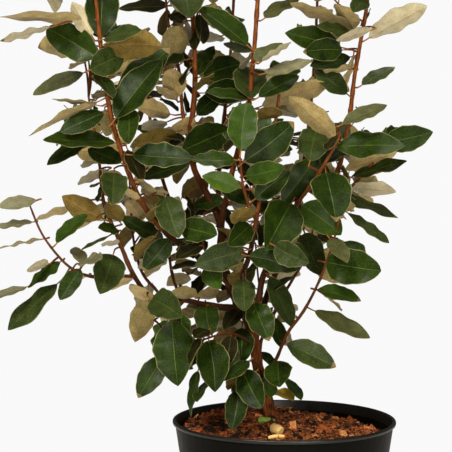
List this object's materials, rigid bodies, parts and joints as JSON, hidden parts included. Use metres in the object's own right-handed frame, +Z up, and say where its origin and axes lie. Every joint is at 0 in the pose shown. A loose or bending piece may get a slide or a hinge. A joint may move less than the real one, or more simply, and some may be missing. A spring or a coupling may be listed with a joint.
{
  "type": "potted elaeagnus shrub",
  "caption": "Young evergreen elaeagnus shrub with leaning trunk, rusty branching boughs and leathery leaves with pale undersides, in a round black nursery pot of bark substrate.",
  "frame": {"origin": "centre of the pot's flat underside, where the pot stands on the ground", "axes": "+Z up along the plant, +X to the right and -Y towards the viewer of its front"},
  "size_m": [0.5569, 0.4273, 1.0485],
  "materials": {
    "pot": "satin",
    "substrate": "matte",
    "bark": "matte",
    "foliage": "satin"
  },
  "bodies": {
    "root": {"back_centre_bough": "bark", "back_centre_foliage": "foliage", "back_left_bough": "bark", "back_left_foliage": "foliage", "back_right_bough": "bark", "back_right_foliage": "foliage", "centre_bough": "bark", "centre_foliage": "foliage", "far_left_foliage": "foliage", "front_bough": "bark", "front_foliage": "foliage", "front_low_foliage": "foliage", "front_young_foliage": "foliage", "inner_back_foliage": "foliage", "left_bough": "bark", "left_foliage": "foliage", "left_front_bough": "bark", "left_front_foliage": "foliage", "left_rear_foliage": "foliage", "low_back_foliage": "foliage", "low_back_left_foliage": "foliage", "low_back_right_foliage": "foliage", "low_base_foliage": "foliage", "low_front_foliage": "foliage", "low_left_bough": "bark", "low_left_foliage": "foliage", "low_mid_left_foliage": "foliage", "low_right_foliage": "foliage", "mid_front_left_foliage": "foliage", "mid_front_right_foliage": "foliage", "pot": "pot", "right_bough": "bark", "right_foliage": "foliage", "right_front_foliage": "foliage", "right_side_foliage": "foliage", "substrate": "substrate", "trunk": "bark", "under_left_foliage": "foliage"}
  },
  "joints": []
}
